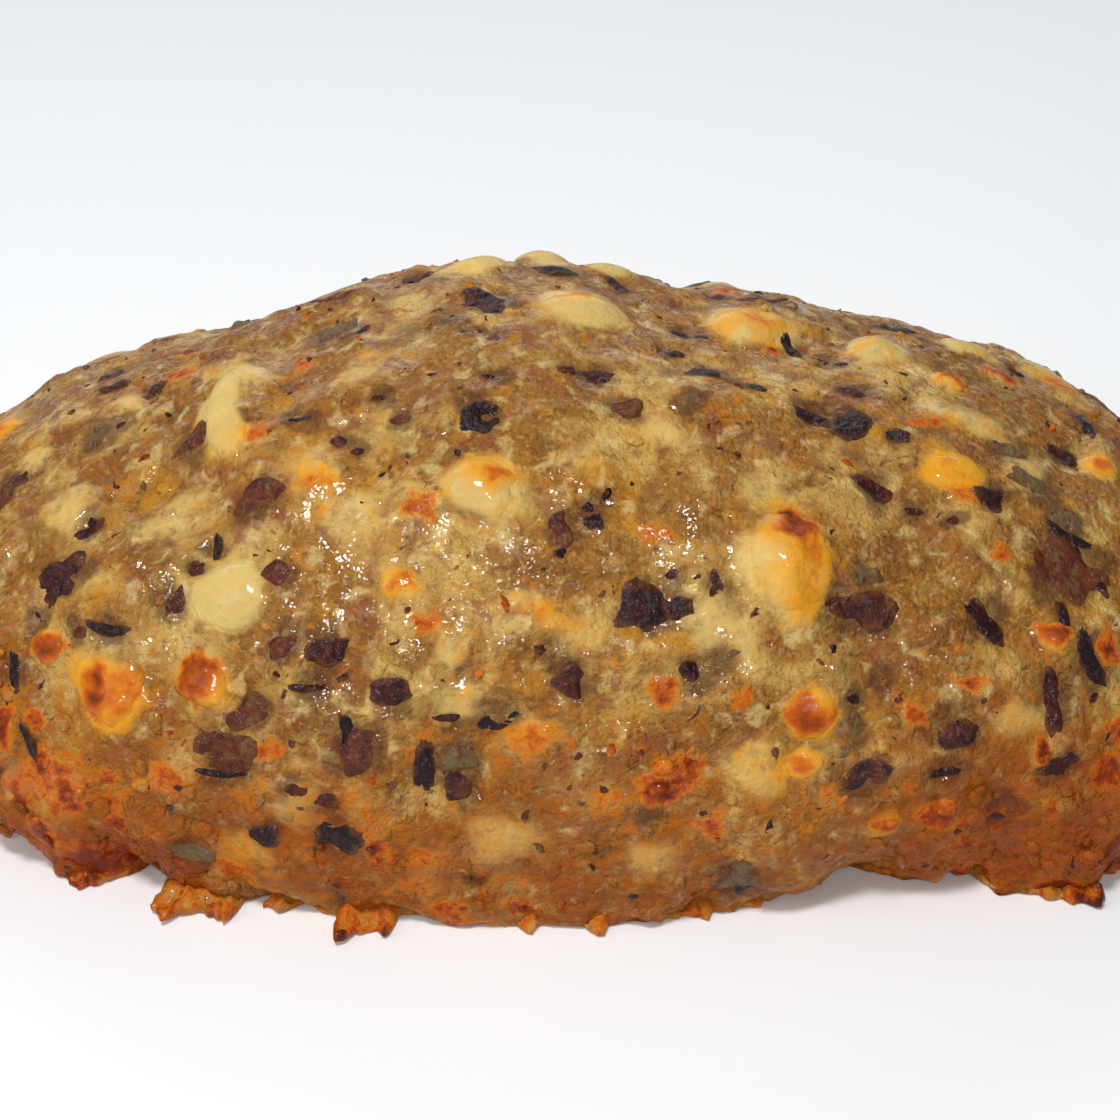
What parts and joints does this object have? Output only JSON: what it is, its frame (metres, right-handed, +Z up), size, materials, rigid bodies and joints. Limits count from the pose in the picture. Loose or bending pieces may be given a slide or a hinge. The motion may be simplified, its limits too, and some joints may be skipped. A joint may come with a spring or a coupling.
{
  "type": "meatloaf",
  "caption": "Free-form oval meatloaf with a flat underside, domed crest, melted cheese lumps, mushroom pieces and browned drips round its foot.",
  "frame": {"origin": "middle of the flat underside", "axes": "+X along the loaf, -Y its front, +Z up from the surface it rests on"},
  "size_m": [0.2197, 0.1237, 0.0711],
  "materials": {
    "baked_mince": "moist baked mince, tan and cream, browner at the foot",
    "melted_cheese": "melted cheese lumps, cream to yellow, browned orange on top",
    "mushroom": "moist dark mushroom skin and flesh",
    "browned_crust": "browned to burnt cheese and juices round the foot"
  },
  "bodies": {
    "root": {"meatloaf": "baked_mince"}
  },
  "joints": []
}
